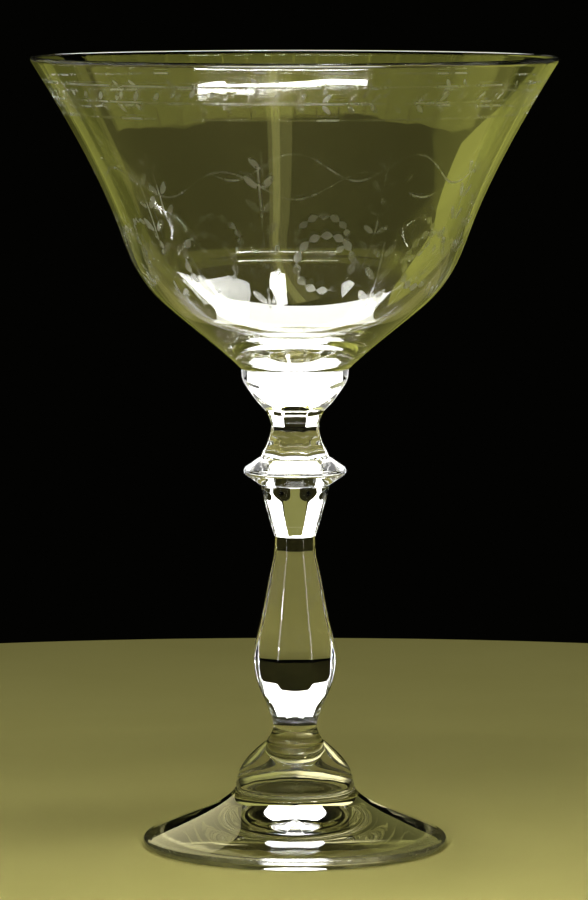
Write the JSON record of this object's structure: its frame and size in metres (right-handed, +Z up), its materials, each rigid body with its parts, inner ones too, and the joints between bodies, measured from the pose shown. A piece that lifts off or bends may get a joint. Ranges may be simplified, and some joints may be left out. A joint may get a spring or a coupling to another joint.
{
  "type": "sherbet glass",
  "caption": "Stemmed sherbet glass: a thin flared bell bowl on a panelled baluster stem with a ring knop, a domed knop and a round foot, for chilled desserts or sparkling wine.",
  "frame": {"origin": "middle of the ring under the foot, on the surface that the glass stands on", "axes": "+Z up along the axis of the glass; a panel of the stem faces -Y, and +X is to the right of it"},
  "size_m": [0.1034, 0.1034, 0.156],
  "materials": {
    "blown_glass": "blown, fire polished, with a faint etched band",
    "pressed_glass": "pressed in panels and fire polished"
  },
  "bodies": {
    "root": {"foot": "pressed_glass", "foot_knop": "pressed_glass", "baluster": "pressed_glass", "drop_knop": "pressed_glass", "ring_knop": "pressed_glass", "upper_neck": "pressed_glass", "bowl_cup": "pressed_glass", "bowl": "blown_glass"}
  },
  "joints": []
}
